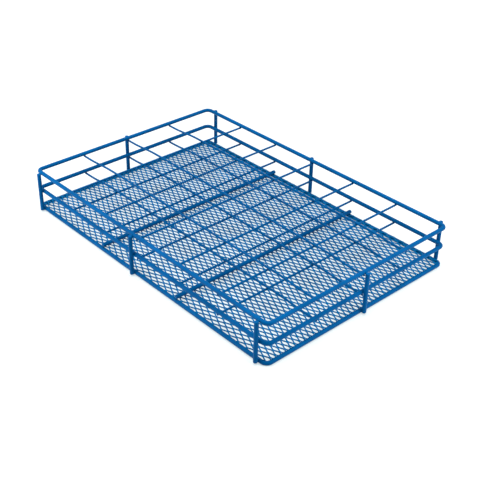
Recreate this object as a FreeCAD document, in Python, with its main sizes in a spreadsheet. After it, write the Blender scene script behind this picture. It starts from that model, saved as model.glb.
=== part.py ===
import FreeCAD, Part
import math
import os
import Sketcher

# Divided wire tray of coated steel rod and wire.
#
# Three rounded rectangular rims of heavy rod stand one above the other, and eight upright
# posts are welded to their outer sides.  The top and middle rims each carry a grid of thin
# wires, five across and three along, welded to the rim's underside.  The floor is a sheet
# of expanded metal on the bottom rim, held down by two crossbars of the heavy rod.
#
# Frame: +X along the long side, +Y along the short side, +Z up.  The origin is at the
# centre of the tray's outline, on the surface that the bottom rim rests on.
# All sizes are in millimetres and include the coating.

DIMENSIONS = {
    "long_span": 430.0,         # rim, between the centre lines of its short sides
    "short_span": 288.0,        # rim, between the centre lines of its long sides
    "corner_bend": 7.0,         # rim corner, radius of the rod's centre line
    "rod_dia": 5.1,             # rims, posts and crossbars
    "wire_dia": 2.7,            # grid wires
    "level_gap": 25.8,          # height from one rim to the next
    "post_overrun": 0.7,        # post end past the outer rims' centre lines
    "corner_post_inset": 11.0,  # corner post, back from the rim's corner along X
    "long_post_shift": -9.0,    # middle post of a long side, along X from the centre
    "short_post_shift": 1.0,    # middle post of a short side, along Y from the centre
    "cross_wires": 5,           # wires across the tray in each grid
    "cross_pitch": 71.0,        # from one cross wire to the next
    "cross_shift": -2.8,        # middle cross wire, along X from the centre
    "long_wires": 3,            # wires along the tray in each grid
    "long_pitch": 72.0,         # from one long wire to the next
    "wire_overrun": 1.2,        # wire end past the centre line of the rod it is welded to
    "bend_margin": 8.0,         # straight wire each side of a weld, before it starts to rise
    "bar_overrun": 1.0,         # crossbar end past the centre line of the bottom rim
    "mesh_thick": 1.0,          # expanded metal, over its raised strands
    "rod_tip": 0.6,             # rounding of the coating at a rod's cut end
    "wire_tip": 0.5,            # rounding of the coating at a wire's cut end
}

BOTTOM_LEVEL = "Dims.rod_dia / 2"
MIDDLE_LEVEL = f"{BOTTOM_LEVEL} + Dims.level_gap"
TOP_LEVEL = f"{BOTTOM_LEVEL} + 2 * Dims.level_gap"
POST_FOOT = f"{BOTTOM_LEVEL} - Dims.post_overrun"
POST_LENGTH = "2 * (Dims.level_gap + Dims.post_overrun)"
POST_X = "(Dims.long_span / 2 + Dims.rod_dia)"
POST_Y = "(Dims.short_span / 2 + Dims.rod_dia)"
CORNER_POST_X = "(Dims.long_span / 2 - Dims.corner_post_inset)"
UNDER_RIM = "(Dims.rod_dia + Dims.wire_dia) / 2"
WIRE_REACH = "(Dims.long_span / 2 + Dims.wire_overrun)"
BAR_LEVEL = f"{BOTTOM_LEVEL} + Dims.rod_dia + Dims.mesh_thick"

X_AXIS, Y_AXIS = -1, -2        # a sketch's own axes, as constraints name them
START, END, CENTRE = 1, 2, 3   # the points of a line or arc
UP = FreeCAD.Vector(0, 0, 1)

doc = FreeCAD.newDocument("wire_tray")
sheet = doc.addObject("Spreadsheet::Sheet", "Dims")
for row, (alias, value) in enumerate(DIMENSIONS.items(), start=1):
    sheet.set(f"A{row}", alias)
    sheet.set(f"B{row}", str(value))
    sheet.setAlias(f"B{row}", alias)
doc.recompute()

sub_parts = []


def size(alias):
    """The value that the sheet holds under an alias."""
    return float(sheet.get(alias))


def point(x, y):
    return FreeCAD.Vector(x, y, 0)


def new_body(label, x="0", y="0", z="0"):
    """A sub-part of its own, placed by expressions."""
    body = doc.addObject("PartDesign::Body", label)
    body.Label = label
    body.setExpression("Placement.Base.x", x)
    body.setExpression("Placement.Base.y", y)
    body.setExpression("Placement.Base.z", z)
    sub_parts.append(body)
    return body


def new_sketch(body, role, purpose):
    """A sketch on one of the body's own origin planes."""
    sketch = body.newObject("Sketcher::SketchObject", f"{body.Label}_{purpose}")
    planes = [feature for feature in body.Origin.OriginFeatures if feature.Role == role]
    sketch.AttachmentSupport = [(planes[0], "")]
    sketch.MapMode = "FlatFace"
    return sketch


def bind(sketch, name, expression, *constraint):
    """A named dimension of a sketch that follows the sheet."""
    index = sketch.addConstraint(Sketcher.Constraint(*constraint))
    sketch.renameConstraint(index, name)
    sketch.setExpression(f"Constraints.{name}", expression)


def add_round_section(sketch, diameter_alias):
    """A circle about the sketch's origin."""
    diameter = size(diameter_alias)
    circle = sketch.addGeometry(Part.Circle(point(0, 0), UP, diameter / 2))
    sketch.addConstraint(Sketcher.Constraint("Coincident", circle, CENTRE, X_AXIS, START))
    bind(sketch, "diameter", f"Dims.{diameter_alias}", "Diameter", circle, diameter)


def add_rounded_outline(sketch):
    """The rims' centre line: a closed rectangle with round corners, from its front's middle."""
    half_x = size("long_span") / 2
    half_y = size("short_span") / 2
    bend = size("corner_bend")
    in_x = half_x - bend
    in_y = half_y - bend

    def line(x0, y0, x1, y1):
        return sketch.addGeometry(Part.LineSegment(point(x0, y0), point(x1, y1)))

    def corner(x, y, quarter):
        circle = Part.Circle(point(x, y), UP, bend)
        turn = math.pi / 2
        return sketch.addGeometry(Part.ArcOfCircle(circle, quarter * turn, (quarter + 1) * turn))

    chain = [
        line(0, -half_y, in_x, -half_y),
        corner(in_x, -in_y, 3),
        line(half_x, -in_y, half_x, in_y),
        corner(in_x, in_y, 0),
        line(in_x, half_y, -in_x, half_y),
        corner(-in_x, in_y, 1),
        line(-half_x, in_y, -half_x, -in_y),
        corner(-in_x, -in_y, 2),
        line(-in_x, -half_y, 0, -half_y),
    ]
    front, right, back, left, front_again = chain[0::2]
    corners = chain[1::2]
    for before, after in zip(chain, chain[1:]):
        sketch.addConstraint(Sketcher.Constraint("Tangent", before, END, after, START))
    sketch.addConstraint(Sketcher.Constraint("Coincident", front_again, END, front, START))
    for edge in (front, back, front_again):
        sketch.addConstraint(Sketcher.Constraint("Horizontal", edge))
    for edge in (right, left):
        sketch.addConstraint(Sketcher.Constraint("Vertical", edge))
    for arc in corners[1:]:
        sketch.addConstraint(Sketcher.Constraint("Equal", corners[0], arc))
    sketch.addConstraint(Sketcher.Constraint("PointOnObject", front, START, Y_AXIS))
    bind(sketch, "bend", "Dims.corner_bend", "Radius", corners[0], bend)
    bind(sketch, "length", "Dims.long_span", "DistanceX", left, START, right, END, 2 * half_x)
    bind(sketch, "width", "Dims.short_span", "DistanceY", front, START, back, START, 2 * half_y)
    bind(sketch, "half_length", "Dims.long_span / 2",
         "DistanceX", X_AXIS, START, right, END, half_x)
    bind(sketch, "half_width", "Dims.short_span / 2",
         "DistanceY", front, START, X_AXIS, START, half_y)
    return len(chain)


def round_ends(body, base, axis, radius_alias):
    """Round the two circular edges at the far ends of a rod along its axis."""
    doc.recompute()
    box = base.Shape.BoundBox
    spans = {"x": (box.XMin, box.XMax), "y": (box.YMin, box.YMax), "z": (box.ZMin, box.ZMax)}
    low, high = spans[axis]
    names = []
    for number, edge in enumerate(base.Shape.Edges, start=1):
        middle = getattr(edge.CenterOfMass, axis)
        gap_to_end = min(abs(middle - low), abs(middle - high))
        if edge.Closed and gap_to_end < size(radius_alias) / 10:
            names.append(f"Edge{number}")
    fillet = body.newObject("PartDesign::Fillet", f"{body.Label}_tips")
    fillet.Base = (base, names)
    fillet.setExpression("Radius", f"Dims.{radius_alias}")
    body.Tip = fillet


def make_rim(label, level):
    """One heavy rod bent to a rounded rectangle and butt-welded to itself."""
    body = new_body(label, z=level)
    path = new_sketch(body, "XY_Plane", "path")
    edges = add_rounded_outline(path)
    section = new_sketch(body, "YZ_Plane", "section")
    radius = size("rod_dia") / 2
    half_y = size("short_span") / 2
    circle = section.addGeometry(Part.Circle(point(-half_y, 0), UP, radius))
    section.addConstraint(Sketcher.Constraint("PointOnObject", circle, CENTRE, X_AXIS))
    bind(section, "diameter", "Dims.rod_dia", "Diameter", circle, 2 * radius)
    bind(section, "offset", "Dims.short_span / 2",
         "DistanceX", circle, CENTRE, X_AXIS, START, half_y)
    pipe = body.newObject("PartDesign::AdditivePipe", f"{label}_pipe")
    pipe.Profile = section
    pipe.Spine = (path, [f"Edge{number}" for number in range(1, edges + 1)])
    body.Tip = pipe


def make_post(label, x, y):
    """One upright rod on the rims' outer side, from the bottom rim to the top one."""
    body = new_body(label, x, y, POST_FOOT)
    section = new_sketch(body, "XY_Plane", "section")
    add_round_section(section, "rod_dia")
    pad = body.newObject("PartDesign::Pad", f"{label}_pad")
    pad.Profile = section
    pad.setExpression("Length", POST_LENGTH)
    round_ends(body, pad, "z", "rod_tip")


def make_cross_rod(label, x, z, diameter_alias, overrun_alias, tip_alias):
    """One straight rod or wire across the tray, along Y."""
    body = new_body(label, x, z=z)
    section = new_sketch(body, "XZ_Plane", "section")
    add_round_section(section, diameter_alias)
    pad = body.newObject("PartDesign::Pad", f"{label}_pad")
    pad.Profile = section
    pad.SideType = "Symmetric"
    pad.setExpression("Length", f"Dims.short_span + 2 * Dims.{overrun_alias}")
    round_ends(body, pad, "y", tip_alias)


def cross_wire_place(number):
    """Where a cross wire lies along X, as an expression, counted from 1 at the left."""
    return f"(Dims.cross_shift + ({number} - (Dims.cross_wires + 1) / 2) * Dims.cross_pitch)"


def add_rising_bend(sketch, start, end, rise):
    """Two equal arcs from (start, 0) to (end, rise), in the order hollow, crest."""
    run = end - start
    radius = (run ** 2 + rise ** 2) / (4 * rise)
    turn = 2 * math.atan(rise / run)
    low = -math.pi / 2
    high = math.pi / 2
    hollow = Part.Circle(point(start, radius), UP, radius)
    crest = Part.Circle(point(end, rise - radius), UP, radius)
    return (sketch.addGeometry(Part.ArcOfCircle(hollow, low, low + turn)),
            sketch.addGeometry(Part.ArcOfCircle(crest, high, high + turn)))


def add_falling_bend(sketch, start, end, rise):
    """Two equal arcs from (start, rise) to (end, 0), in the order crest, hollow."""
    run = end - start
    radius = (run ** 2 + rise ** 2) / (4 * rise)
    turn = 2 * math.atan(rise / run)
    low = -math.pi / 2
    high = math.pi / 2
    crest = Part.Circle(point(start, rise - radius), UP, radius)
    hollow = Part.Circle(point(end, radius), UP, radius)
    return (sketch.addGeometry(Part.ArcOfCircle(crest, high - turn, high)),
            sketch.addGeometry(Part.ArcOfCircle(hollow, low - turn, low)))


def make_long_wire(label, y, z):
    """One wire along X, welded under both rims' short sides and over the cross wires.

    Its ends lie at the cross wires' height.  In the first and last cells it rises by its
    own diameter in an S of two equal arcs, so that it lies on the cross wires.  It starts
    at its left end, which is the body's origin.
    """
    body = new_body(label, f"-{WIRE_REACH}", y, z)
    rise = size("wire_dia")
    reach = size("long_span") / 2 + size("wire_overrun")
    margin = size("bend_margin")
    half_grid = (size("cross_wires") - 1) / 2 * size("cross_pitch")
    up_start = size("wire_overrun") + margin
    up_end = reach + size("cross_shift") - half_grid - margin
    down_start = reach + size("cross_shift") + half_grid + margin
    down_end = 2 * reach - size("wire_overrun") - margin

    path = new_sketch(body, "XZ_Plane", "path")
    left = path.addGeometry(Part.LineSegment(point(0, 0), point(up_start, 0)))
    left_hollow, left_crest = add_rising_bend(path, up_start, up_end, rise)
    high = path.addGeometry(Part.LineSegment(point(up_end, rise), point(down_start, rise)))
    right_crest, right_hollow = add_falling_bend(path, down_start, down_end, rise)
    right = path.addGeometry(Part.LineSegment(point(down_end, 0), point(2 * reach, 0)))
    path.addConstraint([
        Sketcher.Constraint("Coincident", left, START, X_AXIS, START),
        Sketcher.Constraint("Tangent", left, END, left_hollow, START),
        Sketcher.Constraint("Tangent", left_hollow, END, left_crest, END),
        Sketcher.Constraint("Tangent", left_crest, START, high, START),
        Sketcher.Constraint("Tangent", high, END, right_crest, END),
        Sketcher.Constraint("Tangent", right_crest, START, right_hollow, START),
        Sketcher.Constraint("Tangent", right_hollow, END, right, START),
        Sketcher.Constraint("Horizontal", left),
        Sketcher.Constraint("Horizontal", high),
        Sketcher.Constraint("Equal", left_hollow, left_crest),
        Sketcher.Constraint("Equal", right_crest, right_hollow),
        Sketcher.Constraint("PointOnObject", right, END, X_AXIS),
    ])
    places = {
        "up_start": ("Dims.wire_overrun + Dims.bend_margin", left, END, up_start),
        "up_end": (f"{WIRE_REACH} + {cross_wire_place(1)} - Dims.bend_margin",
                   high, START, up_end),
        "down_start": (f"{WIRE_REACH} + {cross_wire_place('Dims.cross_wires')} + Dims.bend_margin",
                       high, END, down_start),
        "down_end": (f"2 * {WIRE_REACH} - Dims.wire_overrun - Dims.bend_margin",
                     right, START, down_end),
        "tip": (f"2 * {WIRE_REACH}", right, END, 2 * reach),
    }
    for name, (expression, edge, end, value) in places.items():
        bind(path, name, expression, "DistanceX", X_AXIS, START, edge, end, value)
    bind(path, "rise", "Dims.wire_dia", "DistanceY", X_AXIS, START, high, START, rise)

    section = new_sketch(body, "YZ_Plane", "section")
    add_round_section(section, "wire_dia")
    pipe = body.newObject("PartDesign::AdditivePipe", f"{label}_pipe")
    pipe.Profile = section
    pipe.Spine = (path, [f"Edge{number}" for number in range(1, path.GeometryCount + 1)])
    round_ends(body, pipe, "x", "wire_tip")


def make_mesh_floor(label):
    """The expanded-metal floor as one plain sheet of the same outline and thickness."""
    body = new_body(label, z=f"{BOTTOM_LEVEL} + Dims.rod_dia / 2")
    outline = new_sketch(body, "XY_Plane", "outline")
    add_rounded_outline(outline)
    pad = body.newObject("PartDesign::Pad", f"{label}_pad")
    pad.Profile = outline
    pad.setExpression("Length", "Dims.mesh_thick")
    body.Tip = pad


make_rim("bottom_rim", BOTTOM_LEVEL)
make_rim("middle_rim", MIDDLE_LEVEL)
make_rim("top_rim", TOP_LEVEL)

for side, y_sign in (("front", "-"), ("back", "")):
    make_post(f"post_{side}_left", f"-{CORNER_POST_X}", f"{y_sign}{POST_Y}")
    make_post(f"post_{side}_middle", "Dims.long_post_shift", f"{y_sign}{POST_Y}")
    make_post(f"post_{side}_right", CORNER_POST_X, f"{y_sign}{POST_Y}")
make_post("post_left_middle", f"-{POST_X}", "Dims.short_post_shift")
make_post("post_right_middle", POST_X, "Dims.short_post_shift")

make_mesh_floor("mesh_floor")

cross_wires = int(size("cross_wires"))
long_wires = int(size("long_wires"))
for side, number in (("left", 2), ("right", cross_wires - 1)):
    make_cross_rod(f"floor_crossbar_{side}", cross_wire_place(number), BAR_LEVEL,
                   "rod_dia", "bar_overrun", "rod_tip")

for grid, level in (("top", TOP_LEVEL), ("middle", MIDDLE_LEVEL)):
    wire_level = f"{level} - {UNDER_RIM}"
    for number in range(1, cross_wires + 1):
        make_cross_rod(f"{grid}_cross_wire_{number}", cross_wire_place(number), wire_level,
                       "wire_dia", "wire_overrun", "wire_tip")
    for number in range(1, long_wires + 1):
        place = f"({number} - (Dims.long_wires + 1) / 2) * Dims.long_pitch"
        make_long_wire(f"{grid}_long_wire_{number}", place, wire_level)

doc.recompute()
for thing in doc.Objects:
    if {"Invalid", "Error"} & set(thing.State):
        raise RuntimeError(f"{thing.Label} did not compute: {thing.State}")
for part in sub_parts:
    if part.Shape.isNull() or not part.Shape.isValid() or len(part.Shape.Solids) != 1:
        raise RuntimeError(f"{part.Label} is not one valid solid")

os.makedirs("parts", exist_ok=True)
for part in sub_parts:
    part.Shape.exportStep(f"parts/{part.Label}.step")
    box = part.Shape.BoundBox
    print(f"{part.Label:24s} {part.Shape.Volume:10.1f} mm3  "
          f"{box.XMin:8.2f} {box.YMin:8.2f} {box.ZMin:7.2f} to "
          f"{box.XMax:8.2f} {box.YMax:8.2f} {box.ZMax:7.2f}")
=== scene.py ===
import math

import bmesh
import bpy
import numpy as np
from mathutils import Matrix, Vector


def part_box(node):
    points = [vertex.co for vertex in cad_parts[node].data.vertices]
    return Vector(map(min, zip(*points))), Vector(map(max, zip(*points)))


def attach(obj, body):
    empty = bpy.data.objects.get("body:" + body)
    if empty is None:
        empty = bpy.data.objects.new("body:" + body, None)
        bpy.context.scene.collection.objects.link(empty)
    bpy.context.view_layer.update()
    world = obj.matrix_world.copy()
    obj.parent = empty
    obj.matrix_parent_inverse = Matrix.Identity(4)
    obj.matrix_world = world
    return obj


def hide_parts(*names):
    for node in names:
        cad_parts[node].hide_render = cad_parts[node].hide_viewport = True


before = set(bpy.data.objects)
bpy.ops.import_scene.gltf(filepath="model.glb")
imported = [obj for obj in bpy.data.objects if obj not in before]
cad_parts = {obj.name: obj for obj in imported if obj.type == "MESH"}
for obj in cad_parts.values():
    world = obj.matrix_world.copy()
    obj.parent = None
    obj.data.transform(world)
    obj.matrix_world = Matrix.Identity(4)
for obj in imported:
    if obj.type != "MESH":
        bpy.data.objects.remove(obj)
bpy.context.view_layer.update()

# A divided wire tray of coated steel rod and wire.  Everything is in metres, in the packed
# model's frame: +X along the long side, +Z up, the bottom rim on Z = 0.  Sizes come from the
# CAD nodes' boxes; the few that a box can't tell are named here.

CORNER_BEND = 0.0070       # rim corner, radius of the rod's centre line
BEND_MARGIN = 0.008        # a long wire stays straight this far each side of a weld
ROD_TIP = 0.0009           # rounding of the coating at a rod's cut end
WIRE_TIP = 0.0008

MESH_LONG_PITCH = 0.01365  # expanded metal: from one opening to the next along X
MESH_SHORT_PITCH = 0.00714  # and along Y
STRAND_WIDTH = 0.00113
STRAND_THICK = 0.00080
STRAND_TILT = math.radians(24)
STRAND_SWELL = 1.12        # a strand's width halfway between bonds, over its width at a bond
BOND_LENGTH = 0.0024       # where two strands of the expanded metal stay joined
EDGE_BULGE = 0.0003        # how far the coating rounds out past a strand's edge
CORNER_CUTS = (22.5, 45, 67.5)  # degrees, the straight cuts that round each corner of the sheet

POST_BEAD = 0.0018         # coating pooled at a weld: radius of the bead round the contact
RIM_BEAD = 0.0012
CROSSING_BEAD = 0.0009
POST_BEAD_HEIGHT = 0.55    # height of a bead over its radius
GRID_BEAD_HEIGHT = 0.6

RIMS = ("bottom_rim", "middle_rim", "top_rim")
POSTS = ("front_left", "front_middle", "front_right", "back_left", "back_middle",
         "back_right", "left_middle", "right_middle")
GRIDS = ("top", "middle")  # of each grid's wires, 1 is nearest the left or the front
CROSS_WIRES = (1, 2, 3, 4, 5)
LONG_WIRES = (1, 2, 3)

PATH_STEP = 0.006          # spacing of the rings along a rim, a post or a long wire
CROSS_STEP = 0.012         # and along a crossbar or a cross wire
RIM_SIDES = 24
POST_SIDES = 28
BAR_SIDES = 20             # of the crossbars and all the wires
UP = (0, 0, 1)


# ---------------------------------------------------------------- sizes from the frame

def low_high(node):
    low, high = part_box(node)
    return np.array(low), np.array(high)


def middle(node):
    low, high = low_high(node)
    return (low + high) / 2


def extent(node):
    low, high = low_high(node)
    return high - low


ROD = extent("top_rim")[2]
WIRE = extent("top_cross_wire_1")[2]
LONG_SPAN = extent("top_rim")[0] - ROD
SHORT_SPAN = extent("top_rim")[1] - ROD


# ---------------------------------------------------------------- paths

def straight(start, end, step):
    """Points from start to end, evenly spaced, both included."""
    start = np.array(start, float)
    end = np.array(end, float)
    count = max(2, int(np.linalg.norm(end - start) / step) + 1)
    share = np.linspace(0, 1, count)[:, None]
    return start + share * (end - start)


def rim_path(level, turn_steps=10):
    """The centre line of a rim: a closed rounded rectangle."""
    half_x = LONG_SPAN / 2 - CORNER_BEND
    half_y = SHORT_SPAN / 2 - CORNER_BEND
    points = []
    centres = [(half_x, -half_y), (half_x, half_y), (-half_x, half_y), (-half_x, -half_y)]
    for quarter, (x, y) in enumerate(centres):
        turn = np.linspace(0, math.pi / 2, turn_steps) + (quarter - 1) * math.pi / 2
        arc = np.stack([x + CORNER_BEND * np.cos(turn), y + CORNER_BEND * np.sin(turn),
                        np.full(turn_steps, level)], 1)
        next_x, next_y = centres[(quarter + 1) % 4]
        next_turn = quarter * math.pi / 2
        landing = (next_x + CORNER_BEND * math.cos(next_turn),
                   next_y + CORNER_BEND * math.sin(next_turn), level)
        points.extend(arc)
        points.extend(straight(arc[-1], landing, PATH_STEP)[1:-1])
    return np.array(points)


def long_wire_path(grid, number, bend_steps=12):
    """A long wire: low at its ends, and one wire diameter higher over the cross wires."""
    low, high = low_high(f"{grid}_long_wire_{number}")
    first_cross = middle(f"{grid}_cross_wire_{CROSS_WIRES[0]}")
    last_cross = middle(f"{grid}_cross_wire_{CROSS_WIRES[-1]}")
    y = (low[1] + high[1]) / 2
    z = first_cross[2]
    share = np.linspace(0, 1, bend_steps)
    rise = np.where(share < 0.5, 2 * share ** 2, 1 - 2 * (1 - share) ** 2)

    def bend(start, end, heights):
        return np.stack([start + share * (end - start), np.full(bend_steps, y),
                         z + WIRE * heights], 1)

    up = bend(-LONG_SPAN / 2 + BEND_MARGIN, first_cross[0] - BEND_MARGIN, rise)
    down = bend(last_cross[0] + BEND_MARGIN, LONG_SPAN / 2 - BEND_MARGIN, rise[::-1])
    return np.concatenate([straight((low[0], y, z), up[0], PATH_STEP)[:-1], up,
                           straight(up[-1], down[0], PATH_STEP)[1:-1], down,
                           straight(down[-1], (high[0], y, z), PATH_STEP)[1:]])


# ---------------------------------------------------------------- mesh building

def new_piece(name, vertices, faces, slot_name, material, *nodes):
    """A smooth-shaded mesh that rides on the tray and stands for CAD nodes."""
    mesh = bpy.data.meshes.new(name)
    mesh.from_pydata([tuple(vertex) for vertex in vertices], [], faces)
    mesh.validate()
    mesh.polygons.foreach_set("use_smooth", [True] * len(mesh.polygons))
    mesh.materials.append(material)
    piece = bpy.data.objects.new(name, mesh)
    bpy.context.scene.collection.objects.link(piece)
    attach(piece, "root")
    if nodes:
        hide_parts(*nodes)
    return piece


def rounded_ends(points, along, radius, tip, tip_steps=5):
    """An open tube's points, directions and radii, with rings added that round its ends."""
    bend = np.linspace(0, math.pi / 2, tip_steps + 1)[1:]
    grown = radius - tip + tip * np.cos(bend)
    reach = tip * np.sin(bend)
    inner_first = points[0] + along[0] * tip
    inner_last = points[-1] - along[-1] * tip
    first = inner_first - along[0] * reach[::-1, None]
    last = inner_last + along[-1] * reach[:, None]
    clear = 1.5 * tip      # no ring of the body stands nearer to an end than this
    body = points[1:-1]
    away = np.linalg.norm(body - points[0], axis=1) > clear
    away &= np.linalg.norm(body - points[-1], axis=1) > clear
    body = body[away]
    body_along = along[1:-1][away]
    points = np.concatenate([first, [inner_first], body, [inner_last], last])
    along = np.concatenate([np.repeat(along[:1], tip_steps + 1, 0), body_along,
                            np.repeat(along[-1:], tip_steps + 1, 0)])
    radii = np.concatenate([grown[::-1], [radius], np.full(len(body), radius), [radius], grown])
    return points, along, radii


def tube(points, radius, sides, reference, closed=False, tip=0.0):
    """Vertices and faces of a round tube along points, with rounded ends unless closed."""
    points = np.array(points, float)
    if closed:
        along = np.roll(points, -1, 0) - np.roll(points, 1, 0)
    else:
        along = np.gradient(points, axis=0)
    along /= np.linalg.norm(along, axis=1)[:, None]
    radii = np.full(len(points), radius)
    if not closed:
        points, along, radii = rounded_ends(points, along, radius, tip)
    across = np.cross(along, np.array(reference, float))
    across /= np.linalg.norm(across, axis=1)[:, None]
    normal = np.cross(across, along)
    angle = np.linspace(0, 2 * math.pi, sides, endpoint=False)
    circle = (across[:, None] * np.cos(angle)[None, :, None]
              + normal[:, None] * np.sin(angle)[None, :, None])
    vertices = (points[:, None] + circle * radii[:, None, None]).reshape(-1, 3)
    rings = len(points)
    faces = []
    for ring in range(rings if closed else rings - 1):
        this = ring * sides
        after = (ring + 1) % rings * sides
        for side in range(sides):
            beside = (side + 1) % sides
            faces.append((this + side, this + beside, after + beside, after + side))
    if not closed:
        faces.append(tuple(range(sides))[::-1])
        faces.append(tuple((rings - 1) * sides + side for side in range(sides)))
    return vertices, faces


def weave_strands(bm, length, width):
    """Zigzag strands of expanded metal about the origin, joined at bonds, past the outline."""
    half_long = MESH_LONG_PITCH / 2
    half_short = MESH_SHORT_PITCH / 2
    plan_width = STRAND_WIDTH * math.cos(STRAND_TILT)
    lift = STRAND_WIDTH * math.sin(STRAND_TILT)
    bond_share = BOND_LENGTH / 2 / half_long
    columns = int(length / half_long / 2) + 3
    rows = int(width / half_short / 2) + 3
    for row in range(-rows, rows):
        lower = []
        upper = []
        for column in range(-columns, columns):
            odd = (column + row) % 2
            for share in (bond_share, 0.5, 1 - bond_share):
                x = (column + share) * half_long
                climb = (share - bond_share) / (1 - 2 * bond_share)
                climb = climb if odd else 1 - climb
                bottom = row * half_short + climb * (half_short - plan_width)
                drop = climb * lift
                widen = STRAND_SWELL if share == 0.5 else 1
                spare = (widen - 1) * plan_width / 2
                lower.append(bm.verts.new((x, bottom - spare, -drop)))
                upper.append(bm.verts.new((x, bottom + plan_width + spare, lift - drop)))
        for i in range(len(lower) - 1):
            bm.faces.new((lower[i], lower[i + 1], upper[i + 1], upper[i]))
    bmesh.ops.remove_doubles(bm, verts=bm.verts, dist=1e-5)


def cut_outline(bm, length, width, bend):
    """Cut the strands off at a rectangle with rounded corners, about the origin."""
    def cut(point, normal):
        whole = bm.verts[:] + bm.edges[:] + bm.faces[:]
        bmesh.ops.bisect_plane(bm, geom=whole, dist=1e-6, plane_co=point, plane_no=normal,
                               clear_outer=True)

    half_x = length / 2 - STRAND_THICK / 2
    half_y = width / 2 - STRAND_THICK / 2
    cut((half_x, 0, 0), (1, 0, 0))
    cut((-half_x, 0, 0), (-1, 0, 0))
    cut((0, half_y, 0), (0, 1, 0))
    cut((0, -half_y, 0), (0, -1, 0))
    for x_sign in (-1, 1):
        for y_sign in (-1, 1):
            for degrees in CORNER_CUTS:
                away = Vector((x_sign * math.cos(math.radians(degrees)),
                               y_sign * math.sin(math.radians(degrees)), 0))
                corner = Vector((x_sign * (half_x - bend), y_sign * (half_y - bend), 0))
                cut(corner + away * bend, away)
    loose = [vertex for vertex in bm.verts if not vertex.link_faces]
    bmesh.ops.delete(bm, geom=loose, context="VERTS")


def thicken(bm, shift):
    """Vertices and faces of the strands with their thickness, and edges that bulge outwards."""
    bm.normal_update()
    bm.verts.index_update()
    half_thick = STRAND_THICK / 2
    count = len(bm.verts)
    vertices = [vertex.co + vertex.normal * half_thick + shift for vertex in bm.verts]
    vertices += [vertex.co - vertex.normal * half_thick + shift for vertex in bm.verts]
    faces = []
    for face in bm.faces:
        loop = [vertex.index for vertex in face.verts]
        faces.append(tuple(loop))
        faces.append(tuple(count + i for i in reversed(loop)))

    border = [edge for edge in bm.edges if len(edge.link_faces) == 1]
    outward = {}
    for edge in border:
        face = edge.link_faces[0]
        start, end = edge.verts
        out = (end.co - start.co).cross(face.normal).normalized()
        if out.dot(face.calc_center_median() - start.co) > 0:
            out = -out
        for vertex in edge.verts:
            outward[vertex] = outward.get(vertex, Vector()) + out
    bulge = {}
    for vertex, out in outward.items():
        bulge[vertex.index] = len(vertices)
        vertices.append(vertex.co + out.normalized() * EDGE_BULGE + shift)
    for edge in border:
        loop = [vertex.index for vertex in edge.link_faces[0].verts]
        start, end = edge.verts[0].index, edge.verts[1].index
        if loop[(loop.index(start) + 1) % len(loop)] != end:
            start, end = end, start
        faces.append((end, start, bulge[start], bulge[end]))
        faces.append((bulge[end], bulge[start], count + start, count + end))
    return vertices, faces


def expanded_sheet(low, high, bend):
    """Expanded metal that fills an outline: zigzag strands joined at bonds, cut at the edges."""
    length, width = (high - low)[:2]
    bm = bmesh.new()
    weave_strands(bm, length, width)
    cut_outline(bm, length, width, bend)
    vertices, faces = thicken(bm, Vector((low + high) / 2))
    bm.free()
    return vertices, faces


def bead(centre, normal, radius, height, rings=8, sides=14):
    """Vertices and faces of a small flattened ball of coating, round a weld."""
    turn = Vector(normal).to_track_quat("Z", "Y").to_matrix()
    vertices = [Vector((0, 0, height))]
    for ring in range(1, rings):
        tilt = math.pi * ring / rings
        for side in range(sides):
            angle = 2 * math.pi * side / sides
            vertices.append(Vector((radius * math.sin(tilt) * math.cos(angle),
                                    radius * math.sin(tilt) * math.sin(angle),
                                    height * math.cos(tilt))))
    vertices.append(Vector((0, 0, -height)))
    last = len(vertices) - 1
    last_ring = 1 + (rings - 2) * sides
    faces = []
    for side in range(sides):
        beside = (side + 1) % sides
        faces.append((0, 1 + side, 1 + beside))
        for this in range(1, last_ring, sides):
            after = this + sides
            faces.append((this + side, after + side, after + beside, this + beside))
        faces.append((last, last_ring + beside, last_ring + side))
    return [turn @ vertex + Vector(centre) for vertex in vertices], faces


def join(shapes):
    """One list of vertices and one of faces, from several."""
    all_vertices = []
    all_faces = []
    for vertices, faces in shapes:
        start = len(all_vertices)
        all_vertices.extend(vertices)
        all_faces.extend(tuple(start + i for i in face) for face in faces)
    return all_vertices, all_faces


# ---------------------------------------------------------------- materials

def set_inputs(node, values):
    for name, value in values.items():
        node.inputs[name].default_value = value


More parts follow.
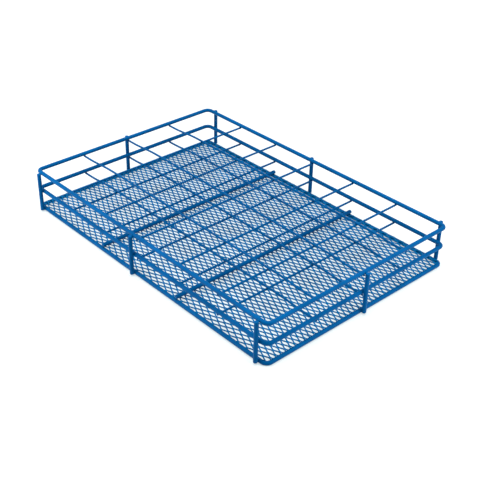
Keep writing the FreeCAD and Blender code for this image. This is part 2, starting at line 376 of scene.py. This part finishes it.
def coating(name, colour, grain):
    """Satin epoxy on steel: one pigment, slightly uneven in depth, gloss and smoothness."""
    deepest, palest = 0.84, 1.14      # of the pigment's colour
    material = bpy.data.materials.new(name)
    material.use_nodes = True
    nodes = material.node_tree.nodes
    links = material.node_tree.links
    shader = nodes["Principled BSDF"]
    set_inputs(shader, {"Specular IOR Level": 0.1, "Specular Tint": (0.0, 0.45, 0.9, 1)})
    place = nodes.new("ShaderNodeTexCoord")

    cloud = nodes.new("ShaderNodeTexNoise")
    set_inputs(cloud, {"Scale": 38.0, "Detail": 4.0, "Roughness": 0.55})
    links.new(place.outputs["Object"], cloud.inputs["Vector"])
    tint = nodes.new("ShaderNodeValToRGB")
    low_stop, high_stop = tint.color_ramp.elements
    low_stop.position = 0.3
    low_stop.color = (*[channel * deepest for channel in colour], 1)
    high_stop.position = 0.7
    high_stop.color = (*[channel * palest for channel in colour], 1)
    links.new(cloud.outputs["Fac"], tint.inputs["Fac"])
    links.new(tint.outputs["Color"], shader.inputs["Base Color"])

    skin = nodes.new("ShaderNodeTexNoise")
    set_inputs(skin, {"Scale": grain, "Detail": 2.0})
    links.new(place.outputs["Object"], skin.inputs["Vector"])
    gloss = nodes.new("ShaderNodeMapRange")
    set_inputs(gloss, {"From Min": 0.3, "From Max": 0.7, "To Min": 0.42, "To Max": 0.58})
    links.new(skin.outputs["Fac"], gloss.inputs["Value"])
    links.new(gloss.outputs["Result"], shader.inputs["Roughness"])

    peel = nodes.new("ShaderNodeBump")
    set_inputs(peel, {"Strength": 0.25, "Distance": 0.00012})
    links.new(skin.outputs["Fac"], peel.inputs["Height"])
    links.new(peel.outputs["Normal"], shader.inputs["Normal"])
    return material


ROD_COAT = coating("rod_coating", (0.0003, 0.068, 0.212), 900.0)
WIRE_COAT = coating("wire_coating", (0.0003, 0.062, 0.192), 1200.0)
MESH_COAT = coating("mesh_coating", (0.0003, 0.092, 0.245), 1500.0)


# ---------------------------------------------------------------- the tray's pieces

def make_rims():
    for node in RIMS:
        path = rim_path(middle(node)[2])
        vertices, faces = tube(path, ROD / 2, RIM_SIDES, UP, closed=True)
        new_piece(node + "_rod", vertices, faces, "coated_rod", ROD_COAT, node)


def make_posts():
    for side in POSTS:
        node = "post_" + side
        low, high = low_high(node)
        x, y = middle(node)[:2]
        path = straight((x, y, low[2]), (x, y, high[2]), PATH_STEP)
        vertices, faces = tube(path, ROD / 2, POST_SIDES, (1, 0, 0), tip=ROD_TIP)
        new_piece(node + "_rod", vertices, faces, "coated_rod", ROD_COAT, node)


def make_cross_rod(node, diameter, tip, slot_name, material):
    low, high = low_high(node)
    x, _, z = middle(node)
    path = straight((x, low[1], z), (x, high[1], z), CROSS_STEP)
    vertices, faces = tube(path, diameter / 2, BAR_SIDES, UP, tip=tip)
    new_piece(node + "_bar", vertices, faces, slot_name, material, node)


def make_cross_rods():
    for side in ("left", "right"):
        make_cross_rod(f"floor_crossbar_{side}", ROD, ROD_TIP, "coated_rod", ROD_COAT)
    for grid in GRIDS:
        for number in CROSS_WIRES:
            make_cross_rod(f"{grid}_cross_wire_{number}", WIRE, WIRE_TIP, "coated_wire",
                           WIRE_COAT)


def make_long_wires():
    for grid in GRIDS:
        for number in LONG_WIRES:
            node = f"{grid}_long_wire_{number}"
            path = long_wire_path(grid, number)
            vertices, faces = tube(path, WIRE / 2, BAR_SIDES, UP, tip=WIRE_TIP)
            new_piece(node + "_bar", vertices, faces, "coated_wire", WIRE_COAT, node)


def make_mesh_floor():
    low, high = low_high("mesh_floor")
    vertices, faces = expanded_sheet(low, high, CORNER_BEND)
    new_piece("expanded_metal_floor", vertices, faces, "coated_mesh", MESH_COAT, "mesh_floor")


def make_post_beads():
    """Coating pooled where each post is welded to the three rims."""
    shapes = []
    for side in POSTS:
        x, y = middle("post_" + side)[:2]
        on_long_side = side.startswith(("front", "back"))
        out = (0, math.copysign(1, y), 0) if on_long_side else (math.copysign(1, x), 0, 0)
        for rim in RIMS:
            centre = Vector((x, y, middle(rim)[2])) - Vector(out) * ROD / 2
            shapes.append(bead(centre, out, POST_BEAD, POST_BEAD * POST_BEAD_HEIGHT))
    vertices, faces = join(shapes)
    new_piece("coating_beads_posts", vertices, faces, "coated_rod", ROD_COAT)


def make_grid_beads(grid):
    """Coating pooled where a grid's wires cross each other and the rim above."""
    shapes = []
    rim_under = middle(f"{grid}_rim")[2] - ROD / 2
    cross_top = middle(f"{grid}_cross_wire_1")[2] + WIRE / 2
    columns = [middle(f"{grid}_cross_wire_{number}")[0] for number in CROSS_WIRES]
    rows = [middle(f"{grid}_long_wire_{number}")[1] for number in LONG_WIRES]

    def add(x, y, z, radius):
        shapes.append(bead((x, y, z), UP, radius, radius * GRID_BEAD_HEIGHT))

    for x in columns:
        for y in rows:
            add(x, y, cross_top, CROSSING_BEAD)
        for y in (-SHORT_SPAN / 2, SHORT_SPAN / 2):
            add(x, y, rim_under, RIM_BEAD)
    for y in rows:
        for x in (-LONG_SPAN / 2, LONG_SPAN / 2):
            add(x, y, rim_under, RIM_BEAD)
    vertices, faces = join(shapes)
    new_piece(f"coating_beads_{grid}_grid", vertices, faces, "coated_wire", WIRE_COAT)


make_rims()
make_posts()
make_cross_rods()
make_long_wires()
make_mesh_floor()
make_post_beads()
for grid_name in GRIDS:
    make_grid_beads(grid_name)


# ---------------------------------------------------------------- stage, light and camera

def make_stage():
    """A plain pale floor that glows a little, so that it stays nearly white."""
    half_size = 6.0
    mesh = bpy.data.meshes.new("studio_floor")
    corners = [(-half_size, -half_size, 0), (half_size, -half_size, 0),
               (half_size, half_size, 0), (-half_size, half_size, 0)]
    mesh.from_pydata(corners, [], [(0, 1, 2, 3)])
    floor = bpy.data.objects.new("studio_floor", mesh)
    bpy.context.scene.collection.objects.link(floor)
    material = bpy.data.materials.new("studio_floor")
    material.use_nodes = True
    set_inputs(material.node_tree.nodes["Principled BSDF"], {
        "Base Color": (0.36, 0.36, 0.36, 1),
        # The glow's pale cyan tint is painted light: it stands in for blue light bounced from
        # the coated tray onto the floor, and it shows only where the floor lies in shade.
        "Emission Color": (0.86, 0.98, 1.0, 1),
        "Emission Strength": 0.55,
        "Roughness": 0.9,
        "Specular IOR Level": 0.1,
    })
    mesh.materials.append(material)


def make_world():
    """Soft light from all round, with a plain pale backdrop where the floor ends."""
    world = bpy.data.worlds.new("studio")
    world.use_nodes = True
    nodes = world.node_tree.nodes
    links = world.node_tree.links
    lighting = nodes["Background"]
    set_inputs(lighting, {"Color": (1, 1, 1, 1), "Strength": 0.4})
    backdrop = nodes.new("ShaderNodeBackground")
    set_inputs(backdrop, {"Color": (0.92, 0.99, 1, 1), "Strength": 0.68})
    ray = nodes.new("ShaderNodeLightPath")
    either = nodes.new("ShaderNodeMixShader")
    links.new(ray.outputs["Is Camera Ray"], either.inputs["Fac"])
    links.new(lighting.outputs["Background"], either.inputs[1])
    links.new(backdrop.outputs["Background"], either.inputs[2])
    links.new(either.outputs["Shader"], nodes["World Output"].inputs["Surface"])
    bpy.context.scene.world = world


def make_light():
    """A broad lamp overhead and a small one low on each side that faces the camera."""
    lamps = (
        # name, place, size, power in watts
        ("key", (-0.1, 0.1, 2.6), 2.2, 112.0),
        ("fill_left", (-0.35, -0.66, 0.28), 0.45, 4.2),
        ("fill_right", (0.78, 0.24, 0.28), 0.45, 3.6),
    )
    for name, place, size, power in lamps:
        light = bpy.data.lights.new(name, "AREA")
        light.size = size
        light.energy = power
        lamp = bpy.data.objects.new(name, light)
        lamp.location = place
        lamp.rotation_euler = Vector(place).to_track_quat("Z", "Y").to_euler()
        lamp.visible_camera = False
        bpy.context.scene.collection.objects.link(lamp)


def make_camera():
    """A camera that looks at the middle of the bottom rim, turned by a slight roll."""
    azimuth = math.radians(47.954)
    elevation = math.radians(31.991)
    roll = math.radians(0.768)
    distance = 2.7726 * LONG_SPAN
    back = Vector((math.sin(azimuth) * math.cos(elevation),
                   -math.cos(azimuth) * math.cos(elevation), math.sin(elevation)))
    right = Vector(UP).cross(back).normalized()
    up = back.cross(right)
    turned_right = math.cos(roll) * right + math.sin(roll) * up
    turned_up = -math.sin(roll) * right + math.cos(roll) * up
    target = Vector((0, 0, middle("bottom_rim")[2]))
    place = Matrix((turned_right, turned_up, back)).transposed().to_4x4()
    place.translation = target + back * distance
    data = bpy.data.cameras.new("camera")
    data.sensor_width = 36.0
    data.lens = 71.03
    data.shift_x = 0.0168
    data.shift_y = -0.0151
    data.clip_start = 0.01
    camera = bpy.data.objects.new("camera", data)
    camera.matrix_world = place
    bpy.context.scene.collection.objects.link(camera)
    bpy.context.scene.camera = camera


make_stage()
make_world()
make_light()
make_camera()
bpy.context.scene.view_settings.view_transform = "Standard"

bpy.context.view_layer.update()
